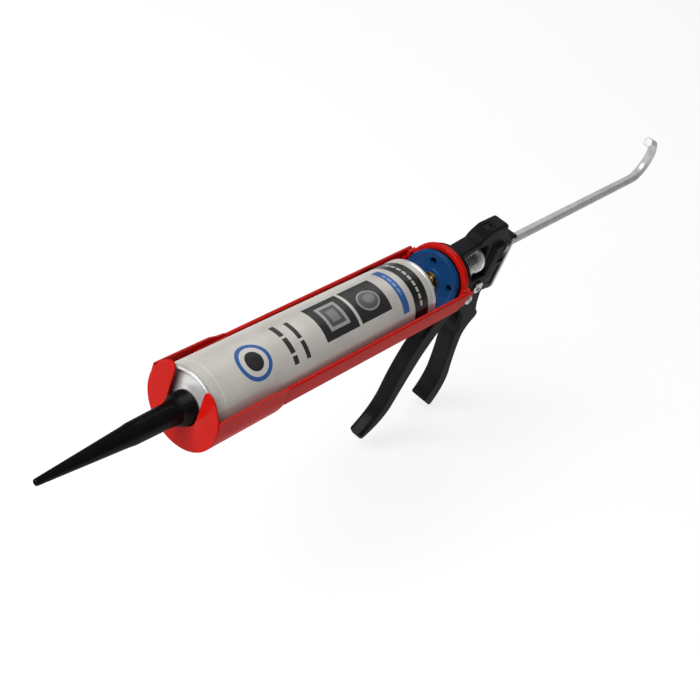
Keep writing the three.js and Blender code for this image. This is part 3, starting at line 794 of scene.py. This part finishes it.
def plunger_rod():
    """The bent hexagonal bar, with a round stud for the brass head."""
    bar = swept(hexagon(ROD_FLATS, 0.7, 3), rod_frames())
    stud_rear, stud_end = ROD_FRONT_X - 1, STUD_DEPTH - HEAD_THICK
    stud = turned(rounded([
        (stud_rear, 0), (stud_rear, STUD_RADIUS), (stud_end, STUD_RADIUS, 0.5), (stud_end, 0),
    ]), 40)
    obj = as_object("plunger_rod_bar", together(bar, stud))
    return dress(shade(obj, 25), "rod", "rod_steel", ROD, "plunger_rod")


def plunger_disc():
    """A disc with a raised rim and boss and four soft-edged holes."""
    rear_x = DISC_FRONT_X - DISC_THICK
    face = turned(rounded([
        (rear_x, 3.2), (rear_x, DISC_RADIUS, 0.8), (DISC_FRONT_X, DISC_RADIUS, 1.3),
        (DISC_FRONT_X, DISC_RADIUS - 3.2, 0.7), (DISC_FRONT_X - 0.8, DISC_RADIUS - 4.6, 1),
        (DISC_FRONT_X - 0.8, 10, 0.7), (DISC_FRONT_X, 9, 0.6), (DISC_FRONT_X, 3.2),
    ], 5), 128)
    obj = as_object("plunger_disc_face", face)
    bore_rear, bore_front = rear_x - 3, DISC_FRONT_X + 3
    bore = [(bore_rear, 0), (bore_rear, HOLE_RADIUS), (bore_front, HOLE_RADIUS), (bore_front, 0)]
    for k in range(4):
        angle = math.radians(15 + 90 * k)
        hole = turned(bore, 32)
        centre = (0, HOLE_CIRCLE * math.cos(angle), HOLE_CIRCLE * math.sin(angle))
        hole.transform(Matrix.Translation(centre))
        carve(obj, hole)
    soften(obj, 0.25, 2, 50)
    return dress(shade(obj), "plunger", "disc_paint", BLUE, "plunger_disc")


def brass_head():
    """A hexagon head with its front corners turned off."""
    obj = as_object("brass_head_hexagon", lengthways(hexagon(HEAD_FLATS, 0.4, 3), -HEAD_THICK, 0))
    cone = turned([(-HEAD_THICK - 1, 0), (-HEAD_THICK - 1, 9), (-1, 7.1), (0, 5.9), (0, 0)], 64)
    carve(obj, cone, operation="INTERSECT")
    hole_end = STUD_DEPTH - HEAD_THICK + GAP
    carve(obj, turned([(-HEAD_THICK - 5, 0), (-HEAD_THICK - 5, 3.2), (hole_end, 3.2), (hole_end, 0)], 32))
    soften(obj, 0.2, 2, 35)
    return dress(shade(obj), "rod", "brass", BRASS, "brass_head")


# ---- cartridge ----

def cartridge_tube():
    """A drawn aluminium can: rolled rear rim, rounded front edge, sunk shoulder and plain neck."""
    skin = TUBE_RADIUS - 0.4
    shoulder_x = TUBE_FRONT_X - 4
    profile = [
        (TUBE_REAR_X, TUBE_INNER, 0.3), (TUBE_REAR_X, TUBE_RADIUS + 0.1, 0.5),
        (TUBE_REAR_X + 2.2, TUBE_RADIUS + 0.1, 0.7), (TUBE_REAR_X + 2.6, skin, 0.3),
        (TUBE_FRONT_X - 1.9, skin, 0.1), (TUBE_FRONT_X - 1.6, TUBE_RADIUS, 0.3),
        (TUBE_FRONT_X, TUBE_RADIUS, 1.2), (TUBE_FRONT_X - 0.2, TUBE_RADIUS - 1.9, 0.6),
        (shoulder_x, TUBE_RADIUS - 2.7, 0.6),
        (shoulder_x, 19.5, 0.5), (shoulder_x + 0.5, 18.9, 0.4), (shoulder_x + 0.6, 11.6, 0.8),
        (TUBE_FRONT_X - 3, 10, 0.4), (TUBE_FRONT_X - 3, NECK_RADIUS, 0.3),
        (TUBE_FRONT_X + 9, NECK_RADIUS, 0.3), (TUBE_FRONT_X + 9, NECK_BORE, 0.3),
        (shoulder_x - 0.9, NECK_BORE, 0.2), (shoulder_x - 0.9, TUBE_INNER, 0.5),
    ]
    obj = as_object("cartridge_tube_can", turned(rounded(profile, 5), 144, -TUBE_DROP))
    return dress(shade(obj), "cartridge", "tube_aluminium", CAN, "cartridge_tube")


def cartridge_label():
    outer, inner = TUBE_RADIUS, TUBE_RADIUS - 0.15
    sleeve = turned([
        (TUBE_REAR_X + 4, inner), (TUBE_REAR_X + 4, outer - 0.03), (TUBE_REAR_X + 4.2, outer),
        (TUBE_FRONT_X - 2.3, outer), (TUBE_FRONT_X - 2.1, outer - 0.03), (TUBE_FRONT_X - 2.1, inner),
    ], 144, -TUBE_DROP)
    obj = as_object("cartridge_label_sleeve", sleeve)
    return dress(shade(obj), "cartridge", "label_print", LABEL, "cartridge_label")


def nozzle():
    """A tapered nozzle: ringed collar, waist, first taper to a moulded step, long taper to the cut tip."""
    base_x = TUBE_FRONT_X - 2.6
    kink_x = PLATE_X + 37
    groove = 9.5
    profile = [
        (base_x, NECK_RADIUS + GAP, 0.2), (base_x, 10, 0.5), (base_x + 1.7, 10, 0.4),
        (base_x + 2.1, groove, 0.2),
    ]
    for k in range(3):
        x = base_x + 2.5 + 1.7 * k
        ridge = groove + 0.45
        profile += [(x, groove, 0.2), (x + 0.3, ridge, 0.3), (x + 1.1, ridge, 0.3), (x + 1.4, groove, 0.2)]
    profile += [
        (base_x + 8.4, 9.3, 0.6), (base_x + 9.5, 7.35, 0.8), (base_x + 14, 7.1),
        (kink_x, 6.6, 0.8), (kink_x + 4, 6.05, 2), (NOZZLE_TIP_X, 1.95, 0.6), (NOZZLE_TIP_X, 1.0, 0.2),
        (kink_x, 4.7), (TUBE_FRONT_X + 9 + GAP, NECK_BORE), (TUBE_FRONT_X + 9 + GAP, NECK_RADIUS + GAP),
    ]
    obj = as_object("nozzle_cone", turned(rounded(profile, 5), 96, -TUBE_DROP))
    return dress(shade(obj, 40), "nozzle", "nozzle_plastic", NOZZLE, "nozzle")


def kept_cad_nodes():
    """CAD nodes whose shape is right: they keep their mesh and get rounded edges and a material."""
    looks = {
        "drive_plate": (PLATE, 0.4), "release_plate": (LEVER, 0.4), "trigger_nut": (ZINC, 0.5),
        "backing_washer": (PLATE, 0.2), "brass_washer": (BRASS, 0.2), "cartridge_piston": (WHITE, 0.5),
    }
    for node, (material, width) in looks.items():
        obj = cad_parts[node]
        for slot in obj.material_slots:
            slot.material = material
        shade(obj)
        weld = obj.modifiers.new("weld", "WELD")
        weld.merge_threshold = 0.01 * MM
        soften(obj, width, 2, 40)


# ---- floor, light and camera ----

def floor():
    """A wide pale sheet just under the gun, bright enough by itself to look white."""
    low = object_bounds()[0]
    z = low.z - MM
    bm = bmesh.new()
    half = 4
    corners = [(-half, -half), (half, -half), (half, half), (-half, half)]
    bm.faces.new([bm.verts.new((x, y, z)) for x, y in corners])
    mesh = bpy.data.meshes.new("floor")
    bm.to_mesh(mesh)
    bm.free()
    obj = bpy.data.objects.new("floor", mesh)
    bpy.context.scene.collection.objects.link(obj)
    look = Look("floor_paper", Specular_IOR_Level=0.1)
    paper = look.mix(look.noise(0.002), (0.3, 0.3, 0.3), (0.29, 0.29, 0.29))
    look.put((1, 1, 1), look.shader.inputs["Emission Color"])
    look.shader.inputs["Emission Strength"].default_value = 0.78
    obj.data.materials.append(look.finish(paper, 0.8))
    obj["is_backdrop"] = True


def area_light(name, size, power, place, target):
    data = bpy.data.lights.new(name, "AREA")
    data.shape = "RECTANGLE"
    data.size, data.size_y = size
    data.energy = power
    light = bpy.data.objects.new(name, data)
    light.location = place
    light.rotation_euler = (Vector(target) - Vector(place)).to_track_quat("-Z", "Y").to_euler()
    bpy.context.scene.collection.objects.link(light)


def studio():
    world = bpy.data.worlds.new("studio")
    world.use_nodes = True
    background = world.node_tree.nodes["Background"]
    background.inputs["Color"].default_value = (1, 1, 1, 1)
    background.inputs["Strength"].default_value = 0.18
    bpy.context.scene.world = world
    bpy.context.scene.view_settings.view_transform = "Standard"
    area_light("key", (1.2, 1.2), 33, (1.25, -0.35, 1.25), (0, 0, 0))
    area_light("back", (1.4, 1.4), 7, (-1.5, -0.75, 1.3), (0, 0, 0))


def camera():
    """A 59 mm lens to the front left and above, as in the photograph."""
    right = Vector((-0.6164, 0.7246, 0.3082))
    down = Vector((0.3311, 0.5936, -0.7335))
    forward = Vector((-0.7144, -0.3501, -0.6058))
    data = bpy.data.cameras.new("camera")
    data.lens = 59.24
    data.sensor_width = 36
    data.clip_start = 0.01
    cam = bpy.data.objects.new("camera", data)
    rotation = Matrix((right, -down, -forward)).transposed().to_4x4()
    cam.matrix_world = Matrix.Translation((0.6206, 0.2699, 0.4346)) @ rotation
    bpy.context.scene.collection.objects.link(cam)
    bpy.context.scene.camera = cam


front_cup()
rail(1)
rail(-1)
rear_ring()
rail_screw(1)
rail_screw(-1)
body()
trigger()
trigger_pin()
drive_spring()
release_spring()
thumb_pad()
plunger_rod()
plunger_disc()
brass_head()
cartridge_tube()
cartridge_label()
nozzle()
kept_cad_nodes()
floor()
studio()
camera()
